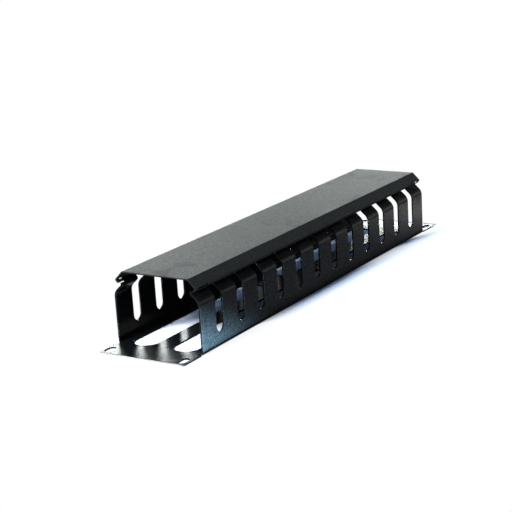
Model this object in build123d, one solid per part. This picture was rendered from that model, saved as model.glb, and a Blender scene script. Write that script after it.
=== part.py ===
from build123d import *

import os
from math import cos, radians, sin

# Horizontal cable manager for a 19-inch rack, two rack units high.
#
# A folded steel channel lies against the rack posts with its two flat ears. Its side walls are cut into
# fingers, so that cables leave the duct sideways. A second folded sheet closes the duct: its return lips
# grip the bent finger tips.
#
# Millimetres. The origin is the centre of the panel's rear face. X runs along the rack's width, Y along
# its height, and Z points away from the rack posts, towards the cover.

# Panel, as the rack standard gives it
panel_width = 482.6
panel_height = 88.0
sheet = 1.5

# Ears, the flat ends of the panel
ear_length = 28.4
ear_corner_radius = 2.0
mount_slot_inset = 8.75
mount_slot_edge = 5.9
mount_slot_length = 12.6
mount_slot_width = 6.8

# Walls and fingers, in section
wall_height = 46.2
neck_inset = 8.0
neck_rise = 7.2
tip_length = 5.5
tip_angle = 45.0
base_bend_radius = 1.0
shoulder_bend_radius = 8.0
neck_bend_radius = 0.8

# Finger slots, along the walls
finger_pitch = 33.55
finger_slot_width = 10.9
finger_slot_floor = 13.0

# Relief cuts beside the bends
relief_width = 2.0
relief_margin = 0.5
tip_stub = 1.2
tip_trim = 6.0

# Cable openings through the panel, two rows of two
opening_width = 24.4
opening_web = 17.4
opening_near_margin = 27.3
opening_far_margin = 38.0
opening_bridge = 35.3

# Cover
cover_sheet = 1.2
cover_bend_radius = 0.3
cover_overhang = 0.3
slant_rise = 8.1
lip_length = 4.2
seat_clearance = 0.35
tip_clearance = 0.5

# Slits that part the cover's lip from its slant near each corner
fold_slit_inset = 4.0
fold_slit_length = 15.0
fold_slit_height = 1.2
fold_slit_drop = 0.4
fold_hole_radius = 0.9

# Places worked out from the sizes above
half_height = panel_height / 2
body_length = panel_width - 2 * ear_length
cover_length = body_length + 2 * cover_overhang
neck_y = half_height - neck_inset
neck_z = wall_height + neck_rise
along_y, along_z = cos(radians(tip_angle)), sin(radians(tip_angle))
outward_y, outward_z = along_z, -along_y
fold_along = tip_length + tip_clearance + cover_sheet
fold_out = seat_clearance + cover_sheet
fold_y = neck_y + fold_along * along_y + fold_out * outward_y
fold_z = neck_z + fold_along * along_z + fold_out * outward_z
cover_height = fold_z + slant_rise
crown_y = fold_y - slant_rise * along_z / along_y
through = 2 * (panel_height + cover_height)


def folded_section(half_outline, radii, thickness, inner_side):
    """Section of a folded sheet that is the same on both sides of the middle plane."""
    mirrored = [(-y, z) for y, z in reversed(half_outline)]
    with BuildSketch(Plane.YZ) as section:
        with BuildLine():
            skin = FilletPolyline(*mirrored, *half_outline, radius=[*reversed(radii), *radii])
            offset(skin, amount=thickness, side=inner_side)
        make_face()
    return section.sketch


def channel_section(tip):
    """Panel, two walls, and the V of the fingers, whose outer limb is tip long."""
    outline = [
        (half_height, 0),
        (half_height, wall_height),
        (neck_y, neck_z),
        (neck_y + tip * along_y, neck_z + tip * along_z),
    ]
    radii = [base_bend_radius + sheet, shoulder_bend_radius + sheet, neck_bend_radius]
    return folded_section(outline, radii, sheet, Side.LEFT)


def cover_section():
    """Flat top, two slanted sides and the lips that return under the finger tips."""
    outline = [
        (crown_y, cover_height),
        (fold_y, fold_z),
        (fold_y - lip_length * along_y, fold_z - lip_length * along_z),
    ]
    radii = [cover_bend_radius + cover_sheet] * 2
    return folded_section(outline, radii, cover_sheet, Side.RIGHT)


def finger_slots():
    """Cutter for the round-bottomed slots between the fingers, through both walls."""
    slot_count = int((body_length - finger_pitch) / finger_pitch + 0.5)
    slot_height = 2 * neck_z
    with BuildPart() as cutter:
        with BuildSketch(Plane.XZ):
            with GridLocations(finger_pitch, 1, slot_count, 1):
                with Locations((0, finger_slot_floor + slot_height / 2)):
                    SlotOverall(slot_height, finger_slot_width, rotation=90)
        extrude(amount=through, both=True)
    return cutter.part


def cable_openings():
    """Cutter for the four long openings with round ends in the panel."""
    length = (panel_width - opening_near_margin - opening_far_margin - opening_bridge) / 2
    first = -panel_width / 2 + opening_near_margin + length / 2
    second = first + length + opening_bridge
    row_y = (opening_web + opening_width) / 2
    centres = [(x, side * row_y) for x in (first, second) for side in (-1, 1)]
    with BuildPart() as cutter:
        with BuildSketch(Plane.XY):
            with Locations(*centres):
                SlotOverall(length, opening_width)
        extrude(amount=2 * sheet, both=True)
    return cutter.part


def panel_blank():
    """Flat panel over its whole width, with its ears, rack slots and the relief cuts at the wall ends."""
    mount_x = panel_width / 2 - mount_slot_inset
    mount_y = half_height - mount_slot_edge
    relief_depth = base_bend_radius + sheet + relief_margin
    relief_x = body_length / 2 + relief_width / 2
    relief_y = half_height - relief_depth / 2
    with BuildPart() as blank:
        with BuildSketch(Plane.XY):
            for side in (-1, 1):
                with Locations((side * (panel_width - ear_length) / 2, 0)):
                    Rectangle(ear_length, panel_height)
            outer = [v for v in vertices() if abs(v.X) > body_length / 2 + ear_length / 2]
            fillet(outer, ear_corner_radius)
            with GridLocations(2 * mount_x, 2 * mount_y, 2, 2):
                SlotOverall(mount_slot_length, mount_slot_width, mode=Mode.SUBTRACT)
            with GridLocations(2 * relief_x, 2 * relief_y, 2, 2):
                Rectangle(relief_width, relief_depth, mode=Mode.SUBTRACT)
        extrude(amount=sheet)
    return blank.part


def base_channel():
    """The whole folded channel: one sheet from ear to ear."""
    with BuildPart() as channel:
        add(extrude(channel_section(tip_stub), body_length / 2, both=True))
        add(extrude(channel_section(tip_length), body_length / 2 - tip_trim, both=True))
        add(finger_slots(), mode=Mode.SUBTRACT)
        add(panel_blank())
        add(cable_openings(), mode=Mode.SUBTRACT)
    return channel.part


def fold_slits():
    """Cutter for the slits on the cover's folds, each with a round hole at its inner end."""
    slit_x = cover_length / 2 - fold_slit_inset - fold_slit_length / 2
    hole_x = cover_length / 2 - fold_slit_inset - fold_slit_length + fold_hole_radius
    with BuildPart() as cutter:
        for side in (-1, 1):
            with BuildSketch(Plane.XZ.offset(-side * crown_y)):
                with GridLocations(2 * slit_x, 1, 2, 1):
                    with Locations((0, fold_z - fold_slit_drop)):
                        Rectangle(fold_slit_length, fold_slit_height)
                with GridLocations(2 * hole_x, 1, 2, 1):
                    with Locations((0, fold_z + fold_hole_radius)):
                        Circle(fold_hole_radius)
            extrude(amount=-side * panel_height / 2)
    return cutter.part


def cover():
    """Snap-on cover, one folded sheet."""
    with BuildPart() as lid:
        add(extrude(cover_section(), cover_length / 2, both=True))
        add(fold_slits(), mode=Mode.SUBTRACT)
    return lid.part


os.makedirs("parts", exist_ok=True)
export_step(base_channel(), "parts/base_channel.step")
export_step(cover(), "parts/cover.step")
print("body", round(body_length, 2), "cover", round(cover_length, 2), "height", round(cover_height, 2))
print("fold corner", round(fold_y, 2), round(fold_z, 2), "crown", round(crown_y, 2))
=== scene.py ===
# %% [markdown]
# # Horizontal cable manager, two rack units high
#
# This part lies across the front of a server rack and keeps the patch cables together. It is made of two
# folded steel sheets: a channel, whose walls are cut into bent fingers, and a cover that snaps over the
# finger tips. Both are powder-coated black. The solids and the slide of the cover come from the CAD frame.
# This script makes the looks: the same two sheets with their small rounded edges, the paint, the paper
# they lie on, and the studio light. Everything is in metres, in the frame's own axes: X along the rack's
# width, Y along its height, Z away from the rack posts.

# %% Frame of the object
import math

import bmesh
import bpy
from mathutils import Matrix, Vector


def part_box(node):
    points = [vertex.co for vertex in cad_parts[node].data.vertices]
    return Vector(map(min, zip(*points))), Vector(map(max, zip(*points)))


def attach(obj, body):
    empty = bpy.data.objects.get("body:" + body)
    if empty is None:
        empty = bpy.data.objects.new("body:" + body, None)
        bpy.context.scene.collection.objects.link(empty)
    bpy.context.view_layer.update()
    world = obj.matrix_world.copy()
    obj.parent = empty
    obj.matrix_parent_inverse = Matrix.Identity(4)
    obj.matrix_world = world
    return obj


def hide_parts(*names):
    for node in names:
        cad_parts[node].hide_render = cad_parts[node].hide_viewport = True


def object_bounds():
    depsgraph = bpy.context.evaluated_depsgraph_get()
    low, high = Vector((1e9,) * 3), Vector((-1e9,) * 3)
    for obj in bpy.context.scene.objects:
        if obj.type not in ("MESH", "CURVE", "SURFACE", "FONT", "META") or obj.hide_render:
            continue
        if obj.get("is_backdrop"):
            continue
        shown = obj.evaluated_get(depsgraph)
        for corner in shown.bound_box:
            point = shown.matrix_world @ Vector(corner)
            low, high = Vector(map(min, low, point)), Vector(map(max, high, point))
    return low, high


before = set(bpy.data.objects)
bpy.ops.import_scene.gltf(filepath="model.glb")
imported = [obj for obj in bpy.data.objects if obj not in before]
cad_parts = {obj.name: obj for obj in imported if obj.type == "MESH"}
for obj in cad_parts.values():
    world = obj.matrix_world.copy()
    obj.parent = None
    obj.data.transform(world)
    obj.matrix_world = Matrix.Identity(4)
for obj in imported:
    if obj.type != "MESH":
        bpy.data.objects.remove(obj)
cad_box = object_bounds()
channel_low, channel_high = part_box("base_channel")
cover_low, cover_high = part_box("cover")
print("channel from", tuple(channel_low), "to", tuple(channel_high))
print("cover from", tuple(cover_low), "to", tuple(cover_high))

# %% [markdown]
# ## The sizes of the sheets
#
# The outer sizes are read from the frame, so that the looks can't drift from the solids. The other ones
# are the sizes that a sheet-metal worker would write on the drawing: the sheets' thickness, the places of
# the bends and the lengths between them. A shape that is worked out from few sizes is easy to change. All
# slanted strips stand at 45 degrees, and the slope is the share of their length that goes up, which is also
# the share that goes sideways. Sizes that only one piece needs follow where that piece is made.

# %% Sizes from the frame and from the drawing
mm = 0.001

panel_width = channel_high.x - channel_low.x
half_height = channel_high.y
cover_length = cover_high.x - cover_low.x
cover_top = cover_high.z

sheet = 1.5 * mm
ear_length = 28.4 * mm
ear_corner_radius = 2.0 * mm
body_length = panel_width - 2 * ear_length

wall_height = 46.2 * mm
neck_inset = 8.0 * mm
neck_rise = 7.2 * mm
tip_length = 5.5 * mm
tip_stub = 1.2 * mm
tip_trim = 6.0 * mm
neck_y = half_height - neck_inset
neck_z = wall_height + neck_rise
tip_angle = math.radians(45)
slope = math.cos(tip_angle)

cover_sheet = 1.2 * mm
slant_rise = 8.1 * mm
lip_length = 4.2 * mm
seat_clearance = 0.35 * mm
tip_clearance = 0.5 * mm
fold_z = cover_top - slant_rise
seat_and_sheet = seat_clearance + cover_sheet
tip_and_sheet = tip_length + tip_clearance + cover_sheet
fold_y = neck_y + (tip_and_sheet + seat_and_sheet) * slope
crown_y = fold_y - slant_rise
print("body", round(body_length, 5), "fold corner", round(fold_y, 5), round(fold_z, 5))

# %% [markdown]
# ## Building node trees from a script
#
# Materials, the world and Geometry Nodes are all trees of nodes. One short helper adds a node, sets its
# options and plugs its inputs, so that each tree below reads from top to bottom like a recipe. Two more
# start a Geometry Nodes tree and run it, with a modifier that is gone once its result is a plain mesh.


# %% Helpers for node trees
def add(tree, kind, inputs=None, **options):
    """Adds a node, sets its options, and gives each named input a value or a link."""
    made = tree.nodes.new(kind)
    for name, value in options.items():
        setattr(made, name, value)
    for name, value in (inputs or {}).items():
        if isinstance(value, bpy.types.NodeSocket):
            tree.links.new(value, made.inputs[name])
        else:
            made.inputs[name].default_value = value
    return made


def geometry_tree(name, sizes):
    """An empty Geometry Nodes tree with a mesh input, named inputs, and a mesh output."""
    tree = bpy.data.node_groups.new(name, "GeometryNodeTree")
    tree.interface.new_socket("Mesh", in_out="INPUT", socket_type="NodeSocketGeometry")
    for label, kind in sizes.items():
        tree.interface.new_socket(label, in_out="INPUT", socket_type="NodeSocket" + kind)
    tree.interface.new_socket("Mesh", in_out="OUTPUT", socket_type="NodeSocketGeometry")
    return tree, tree.nodes.new("NodeGroupInput").outputs, tree.nodes.new("NodeGroupOutput").inputs


def made_by(tree, name, values, start=None):
    """Runs a tree on a start mesh and returns its result as a plain mesh object at the origin."""
    worker = bpy.data.objects.new(name + "_worker", start or bpy.data.meshes.new(name + "_start"))
    bpy.context.scene.collection.objects.link(worker)
    modifier = worker.modifiers.new("nodes", "NODES")
    modifier.node_group = tree
    named_inputs = [item for item in tree.interface.items_tree if item.in_out == "INPUT"]
    identifiers = {item.name: item.identifier for item in named_inputs}
    for label, value in values.items():
        modifier[identifiers[label]] = value
    evaluated = worker.evaluated_get(bpy.context.evaluated_depsgraph_get())
    mesh = bpy.data.meshes.new_from_object(evaluated)
    bpy.data.objects.remove(worker)
    piece = bpy.data.objects.new(name, mesh)
    bpy.context.scene.collection.objects.link(piece)
    print(name, "has", len(mesh.polygons), "faces")
    return piece


# %% [markdown]
# ## A folded sheet, drawn as its section
#
# A sheet with straight folds has the same section all along, so it is drawn as one closed line and pulled
# out. The line runs along the sheet's skin and back along its inner side. Each corner keeps its bend radius
# as an attribute: the inner side of a bend has the radius, and the outer side has the radius plus the
# sheet. One could also model flat strips and bevel them, but then the thickness would suffer at the bends.


# %% Closed lines with bends
def closed_lines(name, loops, radii=None):
    """Mesh of closed lines through flat points. Each point keeps a bend radius, or none at all."""
    mesh = bpy.data.meshes.new(name)
    points, edges = [], []
    for loop in loops:
        first = len(points)
        count = len(loop)
        edges += [(first + i, first + (i + 1) % count) for i in range(count)]
        points += [(x, y, 0) for x, y in loop]
    mesh.from_pydata(points, edges, [])
    bends = mesh.attributes.new("bend_radius", "FLOAT", "POINT")
    bends.data.foreach_set("value", radii or [0] * len(points))
    return mesh


# %% Outline of a sheet
def offset_corner(before, corner, after, distance):
    """The corner of the line that runs beside these two edges, at this distance to their left."""
    normals = []
    for start, end in ((before, corner), (corner, after)):
        if start is not None and end is not None:
            along = (end - start).normalized()
            normals.append(Vector((-along.y, along.x)))
    middle = (normals[0] + normals[-1]).normalized()
    return corner + middle * (distance / middle.dot(normals[0]))


def sheet_outline(name, skin, radii, thickness):
    """Closed line of a sheet's section: its skin, then its other side, thickness to the left of the skin."""
    skin = [Vector(point) for point in skin]
    padded = [None, *skin, None]
    inner, inner_radii = [], []
    for index, corner in enumerate(skin):
        before, after = padded[index], padded[index + 2]
        inner.append(offset_corner(before, corner, after, thickness))
        turn = 0
        if before is not None and after is not None:
            turn = (corner - before).cross(after - corner)
        # The inner side of a bend is tighter than the skin by the thickness, and the outer side is wider
        change = -math.copysign(thickness, turn * thickness)
        inner_radii.append(radii[index] + change if turn else 0)
    return closed_lines(name, [skin + inner[::-1]], list(radii) + inner_radii[::-1])


def both_sides(half):
    """A section's points from the far left to the far right, given those of the right half."""
    return [(-y, z) for y, z in reversed(half)] + list(half)


# %% [markdown]
# ## The tree that folds and pulls a sheet
#
# The line becomes a curve, Fillet Curve puts an arc with the stored radius at each corner, Fill Curve closes
# it to a face, and Extrude Mesh pulls that face out. Extruding leaves the first face open, so a flipped copy
# closes the far end, and merging the doubled points makes one closed solid. The curve lies in the XY plane,
# because Fill Curve works there. A last turn brings it into place.


# %% Nodes that make and place a solid
merge_distance = 0.001 * mm


def filled_and_pulled(tree, outline, length):
    """Nodes that close a flat curve to a face and pull it to a closed solid, from z = 0 upwards."""
    end_face = add(tree, "GeometryNodeFillCurve", {"Curve": outline}, mode="NGONS").outputs[0]
    pulled = add(tree, "GeometryNodeExtrudeMesh", {"Mesh": end_face, "Offset Scale": length}).outputs[0]
    far_end = add(tree, "GeometryNodeFlipFaces", {0: end_face}).outputs[0]
    solid = add(tree, "GeometryNodeJoinGeometry", {0: pulled})
    tree.links.new(far_end, solid.inputs[0])
    merging = {"Geometry": solid.outputs[0], "Distance": merge_distance}
    return add(tree, "GeometryNodeMergeByDistance", merging).outputs[0]


def turned_and_placed(tree, shape, given, result):
    """Nodes that turn a shape by its Euler angles, move it and hand it out."""
    placed = add(
        tree,
        "GeometryNodeTransform",
        {"Geometry": shape, "Rotation": given["Turn"], "Translation": given["Place"]},
    )
    tree.links.new(placed.outputs[0], result["Mesh"])


# %% Tree for a folded sheet
sheet_tree, given, result = geometry_tree(
    "fold_a_sheet", {"Length": "Float", "Arc steps": "Int", "Turn": "Vector", "Place": "Vector"}
)
line = add(sheet_tree, "GeometryNodeMeshToCurve", {0: given["Mesh"]}).outputs[0]
stored = add(sheet_tree, "GeometryNodeInputNamedAttribute", {"Name": "bend_radius"}, data_type="FLOAT")
bent = add(
    sheet_tree,
    "GeometryNodeFilletCurve",
    {"Curve": line, "Radius": stored.outputs[0], "Count": given["Arc steps"]},
    mode="POLY",
).outputs[0]
turned_and_placed(sheet_tree, filled_and_pulled(sheet_tree, bent, given["Length"]), given, result)
print(sheet_tree.name, "has", len(sheet_tree.nodes), "nodes")

# %% [markdown]
# ## The channel's folded sheet
#
# The real channel is one sheet: a flat panel, two walls, a wide bend at the shoulder and a narrow V at the
# top, whose outer limb is the tip that the cover grips. It is drawn once in section and pulled along X. A
# flat plane with Simple Deform modifiers would also give folds, but not at such exact places.

# %% Panel and walls
along_x = (math.radians(90), 0, math.radians(90))
base_bend, shoulder_bend, neck_bend = 1.0 * mm, 8.0 * mm, 0.8 * mm
arc_steps = 10

half_section = [
    (half_height, 0),
    (half_height, wall_height),
    (neck_y, neck_z),
    (neck_y + tip_length * slope, neck_z + tip_length * slope),
]
half_radii = [base_bend + sheet, shoulder_bend + sheet, neck_bend, 0]
channel_outline = sheet_outline(
    "channel_outline", both_sides(half_section), half_radii[::-1] + half_radii, sheet
)
folded_channel = made_by(
    sheet_tree,
    "folded_channel",
    {"Length": body_length, "Arc steps": arc_steps, "Turn": along_x, "Place": (-body_length / 2, 0, 0)},
    channel_outline,
)

# %% [markdown]
# ## The ears
#
# The ears are the panel's flat ends, which are screwed to the rack posts. Each has rounded outer corners and
# a small relief notch beside each wall, without which the sheet would tear at the end of the bend. An ear is
# a closed line too, so the same tree fills it and gives it its thickness. The second ear is the first one
# after half a turn.

# %% Both ears
half_turn = (0, 0, math.pi)
relief_width, relief_margin = 2.0 * mm, 0.5 * mm
relief_depth = base_bend + sheet + relief_margin
ear_start = body_length / 2
ear_half = [
    (panel_width / 2, half_height),
    (ear_start + relief_width, half_height),
    (ear_start + relief_width, half_height - relief_depth),
    (ear_start, half_height - relief_depth),
]
ear_points = [(x, -y) for x, y in reversed(ear_half)] + ear_half
ear_radii = [0, 0, 0, ear_corner_radius, ear_corner_radius, 0, 0, 0]
ears = [
    made_by(
        sheet_tree,
        name,
        {"Length": sheet, "Arc steps": arc_steps, "Turn": turn, "Place": (0, 0, 0)},
        closed_lines(name + "_outline", [ear_points], ear_radii),
    )
    for name, turn in (("far_ear", (0, 0, 0)), ("near_ear", half_turn))
]

# %% [markdown]
# ## Punches for slots and holes
#
# In the workshop a punch press knocks the slots out of the flat sheet before it is folded. Here the punches
# are solids with round ends, set out on a grid of points by Instance on Points, because they repeat with a
# fixed pitch. A rectangle whose corner radius is half its width is such a slot, and a square one is a hole.

# %% Tree for a grid of punches, and one punch
punch_inputs = {
    "Length": "Float",
    "Width": "Float",
    "Corner radius": "Float",
    "Depth": "Float",
    "Arc steps": "Int",
    "Columns": "Int",
    "Rows": "Int",
    "Spread X": "Float",
    "Spread Y": "Float",
    "Turn": "Vector",
    "Place": "Vector",
}
punch_tree, given, result = geometry_tree("punch_grid", punch_inputs)
rectangle = add(
    punch_tree,
    "GeometryNodeCurvePrimitiveQuadrilateral",
    {"Width": given["Length"], "Height": given["Width"]},
).outputs[0]
rounded = add(
    punch_tree,
    "GeometryNodeFilletCurve",
    {
        "Curve": rectangle,
        "Radius": given["Corner radius"],
        "Count": given["Arc steps"],
        "Limit Radius": True,
    },
    mode="POLY",
).outputs[0]
punch = filled_and_pulled(punch_tree, rounded, given["Depth"])
down_by_half = add(
    punch_tree, "ShaderNodeMath", {0: given["Depth"], 1: -0.5}, operation="MULTIPLY"
).outputs[0]
centring = add(punch_tree, "ShaderNodeCombineXYZ", {"Z": down_by_half}).outputs[0]
centred = add(punch_tree, "GeometryNodeTransform", {"Geometry": punch, "Translation": centring}).outputs[0]

# %% The grid that repeats the punch
grid = add(
    punch_tree,
    "GeometryNodeMeshGrid",
    {
        "Size X": given["Spread X"],
        "Size Y": given["Spread Y"],
        "Vertices X": given["Columns"],
        "Vertices Y": given["Rows"],
    },
).outputs[0]
punches = add(punch_tree, "GeometryNodeInstanceOnPoints", {"Points": grid, "Instance": centred}).outputs[0]
real = add(punch_tree, "GeometryNodeRealizeInstances", {0: punches}).outputs[0]
turned_and_placed(punch_tree, real, given, result)
print(punch_tree.name, "has", len(punch_tree.nodes), "nodes")


# %% Helper that sets out the punches
def punch_row(
    name, length, width, depth, columns, spread,
    rows=1, rise=0, turn=(0, 0, 0), place=(0, 0, 0), corner=None,
):
    """Punches in columns and rows. Spread and rise are the ways from the first to the last of them."""
    values = {
        "Length": length,
        "Width": width,
        "Corner radius": min(length, width) / 2 if corner is None else corner,
        "Depth": depth,
        "Arc steps": arc_steps,
        "Columns": columns,
        "Rows": rows,
        "Spread X": spread,
        "Spread Y": rise,
        "Turn": turn,
        "Place": place,
    }
    return made_by(punch_tree, name, values)


# %% [markdown]
# ## The gaps between the fingers
#
# Twelve tall slots part each wall into thirteen fingers, so that cables can leave the duct sideways. They
# are open at the top and round at the bottom, where a sharp corner would start a crack. One row of long
# punches that lie across the part cuts both walls in line. Each is so tall that its upper round end stays
# above the tips.

# %% Punches for the finger gaps
standing = (math.radians(90), 0, 0)
through_both_sides = 3 * half_height
finger_pitch = 33.55 * mm
finger_slot_width = 10.9 * mm
finger_slot_floor = 13.0 * mm
finger_slot_height = 2 * neck_z
slot_count = 12
finger_gaps = punch_row(
    "finger_gap_punches",
    length=finger_slot_width,
    width=finger_slot_height,
    depth=through_both_sides,
    columns=slot_count,
    spread=(slot_count - 1) * finger_pitch,
    turn=standing,
    place=(0, 0, finger_slot_floor + finger_slot_height / 2),
)

# %% [markdown]
# ## The holes in the panel
#
# Four long openings in the panel let cables through to the back of the rack, and four short slots in the
# ears take the rack's screws. Both are grids of two by two. The openings aren't quite in the middle of the
# panel, as measured in the photo, so their grid is moved by half of what the margins differ.

# %% Punches for the cable openings and the rack slots
deep_enough = 4 * sheet
opening_width, opening_web, opening_bridge = 24.4 * mm, 17.4 * mm, 35.3 * mm
near_margin, far_margin = 27.3 * mm, 38.0 * mm
opening_length = (panel_width - near_margin - far_margin - opening_bridge) / 2
openings = punch_row(
    "opening_punches",
    length=opening_length,
    width=opening_width,
    depth=deep_enough,
    columns=2,
    spread=opening_length + opening_bridge,
    rows=2,
    rise=opening_web + opening_width,
    place=((near_margin - far_margin) / 2, 0, 0),
)

mount_slot_inset, mount_slot_edge = 8.75 * mm, 5.9 * mm
mount_slot_length, mount_slot_width = 12.6 * mm, 6.8 * mm
rack_slots = punch_row(
    "rack_slot_punches",
    length=mount_slot_length,
    width=mount_slot_width,
    depth=deep_enough,
    columns=2,
    spread=panel_width - 2 * mount_slot_inset,
    rows=2,
    rise=2 * (half_height - mount_slot_edge),
)

# %% [markdown]
# ## The trimmed tips
#
# At both ends of the walls the tips are cut back to short stubs, so that the end fingers clear the cover's
# corners. The punch for one end is two bars, one over each tip, and they lean as the tips do. Their
# corners are counted along the tip and beside it, and the slope turns those counts into Y and Z.


# %% Punches that trim the tips
def tip_trimmer(name, middle_x):
    """Punch that shortens both tips to their stubs over the trimmed length at one end."""
    beyond_tip = tip_stub + 2 * (tip_length - tip_stub)
    side = 4 * sheet
    corners = [(tip_stub, -side), (beyond_tip, -side), (beyond_tip, side), (tip_stub, side)]
    loop = [
        (neck_y + (along - beside) * slope, neck_z + (along + beside) * slope) for along, beside in corners
    ]
    other_loop = [(-y, z) for y, z in reversed(loop)]
    outline = closed_lines(name + "_outline", [loop, other_loop])
    values = {"Length": 2 * tip_trim, "Arc steps": 1, "Turn": along_x, "Place": (middle_x - tip_trim, 0, 0)}
    return made_by(sheet_tree, name, values, outline)


tip_trims = [tip_trimmer("near_tip_trim", -body_length / 2), tip_trimmer("far_tip_trim", body_length / 2)]

# %% [markdown]
# ## Putting a sheet together
#
# A last tree joins the solids of one collection and takes those of another away, with exact booleans, which
# also manage faces that lie in one plane. Fingers could be modelled one by one, but cutting them out of the
# folded sheet keeps every bend and edge in line, as it is on the real part.

# %% Tree that joins, punches and paints
def pieces_of(tree, collection):
    """Nodes that bring in all meshes of a collection."""
    found = add(tree, "GeometryNodeCollectionInfo", {"Collection": collection}).outputs[0]
    return add(tree, "GeometryNodeRealizeInstances", {0: found}).outputs[0]


assembly_tree, given, result = geometry_tree(
    "join_and_punch", {"Solids": "Collection", "Punches": "Collection", "Paint": "Material"}
)
solids = pieces_of(assembly_tree, given["Solids"])
removed = pieces_of(assembly_tree, given["Punches"])
joined = add(
    assembly_tree,
    "GeometryNodeMeshBoolean",
    {"Mesh 2": solids, "Self Intersection": True},
    operation="UNION",
    solver="EXACT",
).outputs[0]
punched = add(
    assembly_tree,
    "GeometryNodeMeshBoolean",
    {"Mesh 1": joined, "Mesh 2": removed, "Self Intersection": True},
    operation="DIFFERENCE",
    solver="EXACT",
).outputs[0]
whole = add(assembly_tree, "GeometryNodeRealizeInstances", {0: punched}).outputs[0]
painted = add(assembly_tree, "GeometryNodeSetMaterial", {"Geometry": whole, "Material": given["Paint"]})
assembly_tree.links.new(painted.outputs[0], result["Mesh"])
print(assembly_tree.name, "has", len(assembly_tree.nodes), "nodes")


# %% Helper that puts a sheet together
def assembled(name, solids, punches, paint):
    """Joins the solids, takes the punches away, paints the result and clears the helpers away."""
    collections = []
    for label, pieces in (("solids", solids), ("punches", punches)):
        kept = bpy.data.collections.new(name + "_" + label)
        bpy.context.scene.collection.children.link(kept)
        for piece in pieces:
            bpy.context.scene.collection.objects.unlink(piece)
            kept.objects.link(piece)
        collections.append(kept)
    values = {"Solids": collections[0], "Punches": collections[1], "Paint": paint}
    made = made_by(assembly_tree, name, values)
    for piece in [*solids, *punches]:
        bpy.data.objects.remove(piece)
    for kept in collections:
        bpy.data.collections.remove(kept)
    return made


# %% [markdown]
# ## Rounded edges
#
# Punched and cut edges are never razor-sharp, and powder coat rounds them further, so each edge catches a
# thin line of light. Without that line a black sheet looks like a paper cut-out. A Bevel modifier of about
# a fifth of a millimetre on every edge that is sharper than a bend does it. It needs clean edges, so the
# seams that the booleans leave across flat faces are dissolved first. Weighted normals then keep the large
# faces flat to the eye, and the result is copied to a plain mesh, so that no modifier stays live. Volume
# and open edges are printed before and after, because they show a fault sooner than the picture does.

# %% Flat faces without seams
flat_angle = math.radians(0.5)
weld_distance = 0.002 * mm


def without_seams(piece):
    """Dissolves the flat seams that the booleans leave."""
    work = bmesh.new()
    work.from_mesh(piece.data)
    bmesh.ops.remove_doubles(work, verts=work.verts, dist=weld_distance)
    bmesh.ops.dissolve_limit(
        work, angle_limit=flat_angle, verts=work.verts, edges=work.edges, delimit={"NORMAL"}
    )
    work.to_mesh(piece.data)
    work.free()


# %% Rounded edges
edge_radius = 0.18 * mm
edge_steps = 2
sharp_angle = math.radians(40)


def with_rounded_edges(piece):
    """Bevels all sharp edges and makes the result the piece's own mesh."""
    for polygon in piece.data.polygons:
        polygon.use_smooth = True
    bevel = piece.modifiers.new("edges", "BEVEL")
    bevel.limit_method = "ANGLE"
    bevel.angle_limit = sharp_angle
    bevel.width = edge_radius
    bevel.segments = edge_steps
    bevel.use_clamp_overlap = False
    weighted = piece.modifiers.new("flat_faces", "WEIGHTED_NORMAL")
    weighted.keep_sharp = True
    evaluated = piece.evaluated_get(bpy.context.evaluated_depsgraph_get())
    mesh = bpy.data.meshes.new_from_object(evaluated)
    piece.modifiers.clear()
    piece.data = mesh


# %% Volume and open edges, before and after
def steel_inside(piece):
    """Volume of steel in cubic millimetres, and how many edges are open, which should be none."""
    probe = bmesh.new()
    probe.from_mesh(piece.data)
    volume = probe.calc_volume() / mm**3
    open_edges = sum(not edge.is_manifold for edge in probe.edges)
    probe.free()
    return round(volume), open_edges


def finished(piece):
    """Cleans and rounds a punched sheet and prints what that did to it."""
    print(piece.name, "as punched: volume and open edges", steel_inside(piece))
    without_seams(piece)
    with_rounded_edges(piece)
    print(piece.name, "finished: volume and open edges", steel_inside(piece))


# %% [markdown]
# ## Two kinds of powder coat
#
# Powder coat is paint dust that is melted onto the steel in an oven, and it covers both sheets. A picture of
# such paint would stretch or repeat on the folds. Noise in Object coordinates runs through the whole piece
# instead, and it moves with the piece. Only the finest noises tilt the surface, and by about a tenth of a
# millimetre, so they never read as dents. The helpers below make the nodes that both paints need.


# %% Helpers for the paints
def powder_coat(name, colour, index):
    """A plain Principled paint. Returns it with its tree, its sockets and the place on the piece."""
    made = bpy.data.materials.new(name)
    made.use_nodes = True
    tree = made.node_tree
    tree.nodes.clear()
    shader = add(tree, "ShaderNodeBsdfPrincipled")
    add(tree, "ShaderNodeOutputMaterial", {"Surface": shader.outputs[0]})
    shader.inputs["Base Color"].default_value = (*colour, 1)
    shader.inputs["IOR"].default_value = index
    return made, tree, shader.inputs, add(tree, "ShaderNodeTexCoord").outputs["Object"]


def noise(tree, place, clouds_per_metre, detail, distortion=0.0):
    """A cloudy noise through the piece."""
    sockets = {"Vector": place, "Scale": clouds_per_metre, "Detail": detail, "Distortion": distortion}
    return add(tree, "ShaderNodeTexNoise", sockets).outputs[0]


def ramp(tree, value, start, end, at_start, at_end, kind="LINEAR"):
    """Goes from one result to the other while the value goes from start to end, and stays there."""
    ends = {"Value": value, "From Min": start, "From Max": end, "To Min": at_start, "To Max": at_end}
    return add(tree, "ShaderNodeMapRange", ends, interpolation_type=kind).outputs[0]


def combined(tree, first, second, operation):
    """One math node on two values."""
    return add(tree, "ShaderNodeMath", {0: first, 1: second}, operation=operation).outputs[0]


def unsigned(tree, value):
    """A value without its sign."""
    return add(tree, "ShaderNodeMath", {0: value}, operation="ABSOLUTE").outputs[0]


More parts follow.
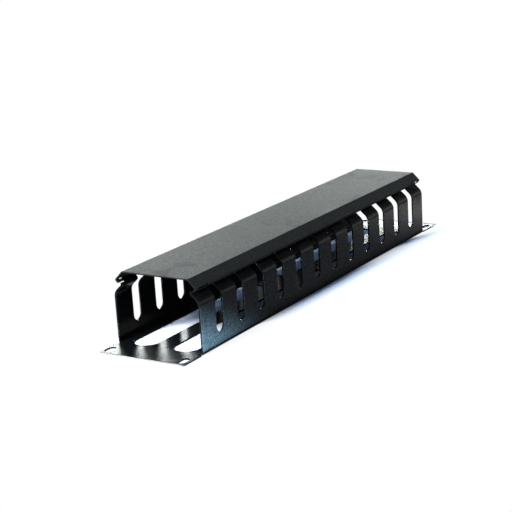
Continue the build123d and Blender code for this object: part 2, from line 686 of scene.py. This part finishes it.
def uneven(tree, height, strength, depth, socket):
    """Tilts the paint's surface a little with a noise."""
    bump = add(tree, "ShaderNodeBump", {"Height": height, "Strength": strength, "Distance": depth})
    tree.links.new(bump.outputs[0], socket)


# %% [markdown]
# ## The gloss black of the channel
#
# On the channel the paint has flowed to a deep gloss black, yet it isn't a perfect mirror: it has a faint
# orange peel, tiny specks that reflect a little more or less, and a thin haze. On the ears it is duller and
# hazier and reflects more, as if rubbed by handling, because the photo shows bright but blurred reflections
# there. The haze is the shader's own coat, which is blurred more widely than the paint below it. Two
# shaders in a mix would look much the same, with more nodes.

# %% Gloss paint of the channel
gloss_black = (0.006, 0.007, 0.009)
gloss_index, haze_roughness, haze_index = 1.23, 0.45, 1.2
gloss_paint, tree, sockets, place = powder_coat("gloss_black_powder_coat", gloss_black, gloss_index)
waves = noise(tree, place, clouds_per_metre=180.0, detail=1.0)
specks = noise(tree, place, clouds_per_metre=620.0, detail=3.0)
orange_peel = noise(tree, place, clouds_per_metre=450.0, detail=3.0)
uneven(tree, orange_peel, strength=0.35, depth=0.08 * mm, socket=sockets["Normal"])
wavy = ramp(tree, waves, start=0.3, end=0.7, at_start=0.14, at_end=0.19)
speckled = ramp(tree, specks, start=0.35, end=0.65, at_start=0.2, at_end=0.8)

# %% Gloss paint on the rubbed ears
rubbed_past_ear = 3 * mm
rubbed_from = body_length / 2 - rubbed_past_ear
brightening = 5.0
from_middle = unsigned(tree, add(tree, "ShaderNodeSeparateXYZ", {0: place}).outputs["X"])
rubbed = ramp(tree, from_middle, start=rubbed_from, end=panel_width / 2, at_start=0.0, at_end=0.12)
brightened = combined(tree, rubbed, brightening, "MULTIPLY")
haze = ramp(tree, from_middle, start=rubbed_from, end=body_length / 2, at_start=0.25, at_end=1.0)
tree.links.new(combined(tree, wavy, rubbed, "ADD"), sockets["Roughness"])
tree.links.new(combined(tree, speckled, brightened, "ADD"), sockets["Specular IOR Level"])
tree.links.new(haze, sockets["Coat Weight"])
sockets["Coat Roughness"].default_value = haze_roughness
sockets["Coat IOR"].default_value = haze_index
print(gloss_paint.name, "has", len(tree.nodes), "nodes")

# %% [markdown]
# ## The fine texture of the cover
#
# The cover has a finer, drier coat that scatters the light to an even grey, with faint smudges. One fine
# noise makes the grain: it tilts the surface and lets some grains reflect more than others. A large,
# distorted noise makes the smudges, where the coat is a little rougher. Real grains of geometry would need
# millions of faces for the same look.

# %% Textured paint of the cover
textured_black = (0.028, 0.030, 0.0295)
textured_index = 1.22
textured_paint, tree, sockets, place = powder_coat(
    "fine_textured_black_powder_coat", textured_black, textured_index
)
grain = noise(tree, place, clouds_per_metre=600.0, detail=4.0)
smudges = noise(tree, place, clouds_per_metre=28.0, detail=4.0, distortion=1.5)
dulled = ramp(tree, smudges, start=0.58, end=0.72, at_start=0.50, at_end=0.61)
sparkling = ramp(tree, grain, start=0.38, end=0.62, at_start=0.20, at_end=0.80)
tree.links.new(dulled, sockets["Roughness"])
tree.links.new(sparkling, sockets["Specular IOR Level"])
uneven(tree, grain, strength=0.8, depth=0.12 * mm, socket=sockets["Normal"])
print(textured_paint.name, "has", len(tree.nodes), "nodes")

# %% [markdown]
# ## The channel
#
# The channel is the part that carries everything: its ears are screwed to the rack posts, its openings let
# cables through, and its bent fingers hold the cables and the cover. All its solids and punches are ready,
# so one call joins, punches and paints it. Its volume is printed, because a boolean that goes wrong loses
# steel or leaves a gap, and both show in the numbers before they show in the picture.

# %% The channel, assembled
channel_sheet = assembled(
    "base_channel_sheet",
    [folded_channel, *ears],
    [finger_gaps, openings, rack_slots, *tip_trims],
    gloss_paint,
)
finished(channel_sheet)

# %% [markdown]
# ## The cover's folded sheet
#
# The cover is a thinner sheet with sharper folds. Its sides slant down and its lips turn back in under the
# finger tips, which is how it stays on. It is drawn as the channel is, with the sheet's inner side to the
# right of the skin, which is why its thickness is given as a negative number. The folds have few arc steps,
# because they are tight.

# %% The cover, folded
cover_half = [
    (crown_y, cover_top),
    (fold_y, fold_z),
    (fold_y - lip_length * slope, fold_z - lip_length * slope),
]
cover_bend = 0.3 * mm
cover_arc_steps = 6
cover_radii = [cover_bend + cover_sheet, cover_bend + cover_sheet, 0]
cover_outline = sheet_outline(
    "cover_outline", both_sides(cover_half), cover_radii[::-1] + cover_radii, -cover_sheet
)
cover_start = (-cover_length / 2, 0, 0)
folded_cover = made_by(
    sheet_tree,
    "folded_cover",
    {"Length": cover_length, "Arc steps": cover_arc_steps, "Turn": along_x, "Place": cover_start},
    cover_outline,
)

# %% [markdown]
# ## The slits near the cover's corners
#
# Near each corner a slit runs along the fold, with a small hole at its inner end. It probably lets the
# corner give a little when the cover is snapped on. Slits and holes that end somewhere along the sheet can't
# be part of its section, so they are punched, with punches that are long enough for both sides at once.

# %% The cover, punched
slit_inset, slit_length, slit_height, slit_drop = 4.0 * mm, 15.0 * mm, 1.2 * mm, 0.4 * mm
hole_radius = 0.9 * mm
slits = punch_row(
    "slit_punches",
    length=slit_length,
    width=slit_height,
    depth=through_both_sides,
    columns=2,
    spread=cover_length - 2 * slit_inset - slit_length,
    turn=standing,
    place=(0, 0, fold_z - slit_drop),
    corner=0,
)
holes = punch_row(
    "slit_hole_punches",
    length=2 * hole_radius,
    width=2 * hole_radius,
    depth=through_both_sides,
    columns=2,
    spread=cover_length - 2 * (slit_inset + slit_length - hole_radius),
    turn=standing,
    place=(0, 0, fold_z + hole_radius),
)
cover_sheet_piece = assembled("cover_sheet", [folded_cover], [slits, holes], textured_paint)
finished(cover_sheet_piece)

# %% [markdown]
# ## Which body each sheet rides on
#
# The cover slides along the channel, so the two sheets belong to two bodies. Each finished sheet takes the
# place of its CAD solid and rides on that solid's body. The origin of both sheets stays at the frame's
# origin, so the slide moves them as it moves the solids.

# %% Bodies
for piece, node, body, slot in (
    (channel_sheet, "base_channel", "channel", "channel_paint"),
    (cover_sheet_piece, "cover", "lid", "cover_paint"),
):
    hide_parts(node)
    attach(piece, body)
    print(piece.name, "rides on", body, "and fills", slot)

# %% [markdown]
# ## The camera
#
# The camera was found from the part itself: with the panel's known width, the corners of the panel and the
# cover, seen in the photo, give one place and one lens that fit them all. Its three axes are kept as unit
# vectors, and a matrix of those axes turns the camera. A Track To constraint would be simpler, but it can't
# hold the slight roll of a camera held by hand.

# %% Camera
scene = bpy.context.scene
scene.view_settings.view_transform = "Standard"
eye = Vector((-1.10736, -0.67787, 0.38140))
forward = Vector((0.811352, 0.522115, -0.262883))
right = Vector((0.526076, -0.848244, -0.061037))
up = Vector((0.254857, 0.088774, 0.962895))
camera_data = bpy.data.cameras.new("camera")
camera_data.lens = 97.90
camera_data.sensor_width = 36
camera_data.clip_start = 0.01
camera = bpy.data.objects.new("camera", camera_data)
scene.collection.objects.link(camera)
camera.matrix_world = Matrix.Translation(eye) @ Matrix((right, up, -forward)).transposed().to_4x4()
scene.camera = camera
print("camera stands", round(eye.length, 3), "metres from the part's origin")

# %% [markdown]
# ## The room around the part
#
# The part lies in a white photo tent. A black glossy sheet shows little colour of its own, so what one
# sees on it is the room. The world therefore has three faces, told apart by Light Path: plain white for the
# camera, a pale horizon that darkens upwards for the paint's mirror images, and a cool light from above and
# behind that fills the shadows. One world colour for all three would either grey the background or flood
# the black paint with light.

# %% World
white = (1, 1, 1, 1)
sky_blue = (0.50, 0.72, 1.04, 1)
world = bpy.data.worlds.new("photo_tent")
scene.world = world
world.use_nodes = True
tree = world.node_tree
tree.nodes.clear()


def blend(tree, share, first, second):
    """Mixes two shaders: none of the second at a share of nothing, and only the second at one."""
    return add(tree, "ShaderNodeMixShader", {0: share, 1: first, 2: second}).outputs[0]


def glow_of(tree, colour, strength):
    """A background of this colour and strength."""
    return add(tree, "ShaderNodeBackground", {"Color": colour, "Strength": strength}).outputs[0]


path = add(tree, "ShaderNodeLightPath").outputs
direction = add(tree, "ShaderNodeTexCoord").outputs["Generated"]
parts = add(tree, "ShaderNodeSeparateXYZ", {0: direction}).outputs
pale_horizon = ramp(
    tree, parts["Z"], start=0.05, end=0.36, at_start=1.0, at_end=0.10, kind="SMOOTHSTEP"
)
from_above = ramp(tree, parts["Z"], start=0.45, end=0.85, at_start=0.04, at_end=0.85)
from_behind = ramp(tree, parts["Y"], start=-0.35, end=0.35, at_start=0.15, at_end=1.0)
cool_light = glow_of(tree, sky_blue, combined(tree, from_above, from_behind, "MULTIPLY"))
mirrored_room = glow_of(tree, white, pale_horizon)
not_camera = blend(tree, path["Is Glossy Ray"], cool_light, mirrored_room)
whole_room = blend(tree, path["Is Camera Ray"], not_camera, glow_of(tree, white, 1.0))
add(tree, "ShaderNodeOutputWorld", {0: whole_room})
print("the room has", len(tree.nodes), "nodes")

# %% [markdown]
# ## The paper floor
#
# The part lies on white paper that fades into the white background without an edge. Real paper would turn
# grey away from the lamp, so the camera sees plain white paper everywhere except close to the part, where
# the paper is shaded and keeps the part's own shadow. The paint sees another side of the same paper: dim
# paper, with a few brighter pools where the tent's light falls, because the near end of the wall shines
# blue in the photo and its far end grey. Most distances are measured from the part's sides, so that the
# floor follows the part's sizes.

# %% Floor and distances from the part
floor_size = 12
bpy.ops.mesh.primitive_plane_add(size=floor_size)
floor = bpy.context.object
floor.name = "paper_floor"
paper = bpy.data.materials.new("white_paper")
paper.use_nodes = True
tree = paper.node_tree
tree.nodes.clear()
path = add(tree, "ShaderNodeLightPath").outputs
spot = add(tree, "ShaderNodeTexCoord").outputs["Object"]
spot_parts = add(tree, "ShaderNodeSeparateXYZ", {0: spot}).outputs
along, across = spot_parts["X"], spot_parts["Y"]
past_near_ear = combined(tree, -panel_width / 2, along, "SUBTRACT")
past_either_ear = combined(tree, unsigned(tree, along), panel_width / 2, "SUBTRACT")
past_back = combined(tree, across, half_height, "SUBTRACT")
past_front = combined(tree, -half_height, across, "SUBTRACT")
print("the paper is", floor_size, "metres wide")

# %% [markdown]
# ## Where the shadow stays
#
# In the photo the shadow is a soft blue band in front of the part. It starts about a hand's breadth from the
# near end, widens, thins out, and darkens once more just before the far ear, and it leans towards the far
# end. Behind the part and past its ears the paper is white. One mask says this: near the part it is one, and
# it falls to nothing within a few centimetres, or within about one behind the part. In front, a curve along
# the part says how much of the band is kept. A curve shows such a rise and fall at a glance, where a chain
# of ramps would hide it.

# %% Shadow mask
soft = "SMOOTHERSTEP"
shadow_reach, shadow_end = 14 * mm, 45 * mm
lit_side_gain = 3.5
past_lit_sides = combined(tree, past_back, past_either_ear, "MAXIMUM")
nearest = combined(tree, combined(tree, past_lit_sides, lit_side_gain, "MULTIPLY"), past_front, "MAXIMUM")
around = ramp(tree, nearest, start=shadow_reach, end=shadow_end, at_start=1.0, at_end=0.0, kind=soft)

band_lean, middle = 2.5, 0.5
straightened = combined(tree, along, combined(tree, past_front, band_lean, "MULTIPLY"), "SUBTRACT")
share_of_width = combined(tree, combined(tree, straightened, panel_width, "DIVIDE"), middle, "ADD")
rise = [(0.24, 0.0), (0.45, 1.0)]
thin_stretch = [(0.60, 0.95), (0.72, 0.55), (0.79, 0.55)]
last_dark_spot = [(0.855, 1.0), (0.90, 0.25), (0.94, 0.0)]
band = add(tree, "ShaderNodeFloatCurve", {"Value": share_of_width})
band_points = band.mapping.curves[0].points
band_points[0].location, band_points[1].location = rise
for point in thin_stretch + last_dark_spot:
    band_points.new(*point)
band.mapping.extend = "HORIZONTAL"
band.mapping.update()

front_only = ramp(tree, past_front, start=-2 * mm, end=0.0, at_start=0.0, at_end=1.0, kind=soft)
missing = combined(tree, combined(tree, 1.0, band.outputs[0], "SUBTRACT"), front_only, "MULTIPLY")
kept_shadow = combined(tree, around, combined(tree, 1.0, missing, "SUBTRACT"), "MULTIPLY")
print("the shadow is kept up to", shadow_end / mm, "mm from the part")

# %% [markdown]
# ## What the paint mirrors
#
# A pool is a patch of glowing paper that only glossy rays meet, and only low ones, as the walls' mirror
# images are. Straight beside the wall it is dimmed, so that no bright line creeps along the part's foot. A
# narrow strip before the near ear lights the thin front edge of the panel, which is nearly white in the
# photo. Lamps would do it too, but patches in the paper's own material can be dimmed beside the wall by one
# ramp.

# %% Pools of light on the paper
pale_blue = (0.39, 0.73, 1.0, 1)
warm_white = (1.0, 0.97, 0.94, 1)
pool_falloff = 3.0
facing = add(tree, "ShaderNodeLayerWeight").outputs["Facing"]
low_angle = ramp(tree, facing, start=0.5, end=0.7, at_start=0.0, at_end=1.0)
past_sides = combined(tree, past_back, past_front, "MAXIMUM")
beside_wall = ramp(tree, past_sides, start=2 * mm, end=9 * mm, at_start=0.0, at_end=1.0, kind=soft)


def pool(centre, inner, outer, colour, strength, brightest):
    """A patch of glowing paper: even up to the inner radius, and gone at the outer one."""
    away = add(tree, "ShaderNodeVectorMath", {0: spot, 1: centre}, operation="DISTANCE").outputs["Value"]
    fading = ramp(tree, away, start=inner, end=outer, at_start=1.0, at_end=0.0)
    curved = combined(tree, fading, pool_falloff, "POWER")
    level = combined(tree, combined(tree, curved, strength, "MULTIPLY"), brightest, "MINIMUM")
    shown = combined(tree, combined(tree, level, low_angle, "MULTIPLY"), beside_wall, "MULTIPLY")
    return add(tree, "ShaderNodeEmission", {"Color": colour, "Strength": shown}).outputs[0]


blue_pool = pool(
    centre=(-0.25, -0.12, 0), inner=0.07, outer=0.19, colour=pale_blue, strength=18.0, brightest=16.0
)
grey_pool = pool(
    centre=(0.31, -0.085, 0), inner=0.0, outer=0.22, colour=warm_white, strength=1.3, brightest=1.3
)
print("with its pools the paper has", len(tree.nodes), "nodes")

# %% The strip before the near ear
strip_start, strip_end, strip_strength = 2 * mm, 6 * mm, 40.0
before_ear = combined(tree, past_near_ear, 0.0, "GREATER_THAN")
close_by = ramp(
    tree, past_near_ear, start=strip_start, end=strip_end, at_start=strip_strength, at_end=0.0, kind=soft
)
strip_level = combined(tree, combined(tree, before_ear, close_by, "MULTIPLY"), low_angle, "MULTIPLY")
front_strip = add(tree, "ShaderNodeEmission", {"Color": white, "Strength": strip_level}).outputs[0]

# %% [markdown]
# ## The paper's three faces
#
# One material gives each kind of ray its own paper, and Light Path tells the rays apart. The camera gets
# plain white or, under the mask, lit paper with a colour so bright that only the shadow on it is darker than
# white. Glossy rays get dim paper with the pools on it. All other rays get the dim paper alone, so that it
# throws little light up at the part. Three floors that hide from some rays would do the same, but they
# would have to lie in one plane.


# %% The paper, put together
def both(first, second):
    """The paper with two shaders on top of each other."""
    return add(tree, "ShaderNodeAddShader", {0: first, 1: second}).outputs[0]


# The bright paper is bluish, so the real shadow on it gets painted blue shade on top of the cool light's own
# blue
bright_paper_with_painted_blue_shade = (1.55, 1.70, 1.98, 1)
dim_paper = (0.35, 0.35, 0.35, 1)
shaded = add(tree, "ShaderNodeBsdfDiffuse", {"Color": bright_paper_with_painted_blue_shade}).outputs[0]
plain_white = add(tree, "ShaderNodeEmission", {"Color": white, "Strength": 1.0}).outputs[0]
dim = add(tree, "ShaderNodeBsdfDiffuse", {"Color": dim_paper}).outputs[0]
mirrored_paper = both(dim, both(both(blue_pool, grey_pool), front_strip))
not_camera = blend(tree, path["Is Glossy Ray"], dim, mirrored_paper)
for_camera = blend(tree, kept_shadow, plain_white, shaded)
whole_paper = blend(tree, path["Is Camera Ray"], not_camera, for_camera)
add(tree, "ShaderNodeOutputMaterial", {0: whole_paper})
floor.data.materials.append(paper)
floor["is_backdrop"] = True
print("the paper has", len(tree.nodes), "nodes")

# %% [markdown]
# ## The lamps
#
# One soft key lamp stands high beyond the near end. It lights the paper and reaches a little way into the
# channel. The three glowing cards behind the part are seen only as mirror images: the low one gives the
# cover its even grey, the near one makes the bright stripes on the near ear, and the far one brightens the
# far end. They light nothing by themselves, because a lamp that is strong enough to show in black paint
# would burn out everything else. A mesh with emission would do the same, but a lamp renders with less
# noise.

# %% Softboxes
def softbox(name, azimuth, elevation, distance, width, height, radiance, colour=(1, 1, 1)):
    """A glowing rectangle that faces the part's origin. Azimuth runs from +X towards +Y, in degrees."""
    lamp_data = bpy.data.lights.new(name, "AREA")
    lamp_data.shape = "RECTANGLE"
    lamp_data.size = width
    lamp_data.size_y = height
    lamp_data.energy = radiance * math.pi * width * height
    lamp_data.color = colour
    around_z, above = math.radians(azimuth), math.radians(elevation)
    level = math.cos(above)
    outward = Vector((math.cos(around_z) * level, math.sin(around_z) * level, math.sin(above)))
    lamp = bpy.data.objects.new(name, lamp_data)
    scene.collection.objects.link(lamp)
    lamp.location = outward * distance
    lamp.rotation_mode = "QUATERNION"
    lamp.rotation_quaternion = (-outward).to_track_quat("-Z", "Y")
    lamp.visible_camera = False
    print(name, "gives", round(lamp_data.energy), "watts")
    return lamp


softbox(
    "key_beyond_the_near_end",
    azimuth=171.5,
    elevation=40,
    distance=3.0,
    width=0.60,
    height=0.60,
    radiance=76,
)
card_distance = 1.6
card_white = (0.94, 1.0, 0.98)
cards = {
    "low_glow": {"azimuth": 23, "elevation": 4.5, "width": 1.60, "height": 0.23, "radiance": 17.5},
    "near_card": {"azimuth": 48.5, "elevation": 22.6, "width": 0.51, "height": 0.26, "radiance": 9.0},
    "far_card": {"azimuth": 19, "elevation": 7.0, "width": 0.54, "height": 0.24, "radiance": 4.0},
}
for name, look in cards.items():
    card = softbox(name, distance=card_distance, colour=card_white, **look)
    card.visible_diffuse = False

# %% [markdown]
# ## A last look at the sizes
#
# The looks may not grow past the solids, or the part would no longer fit the rack. The largest difference
# between the two boxes is printed.

# %% Sizes of the looks and the solids
visual_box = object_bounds()
differences = [abs(a - b) for cad, seen in zip(cad_box, visual_box) for a, b in zip(cad, seen)]
print("largest difference between looks and solids", round(max(differences) / mm, 4), "mm")
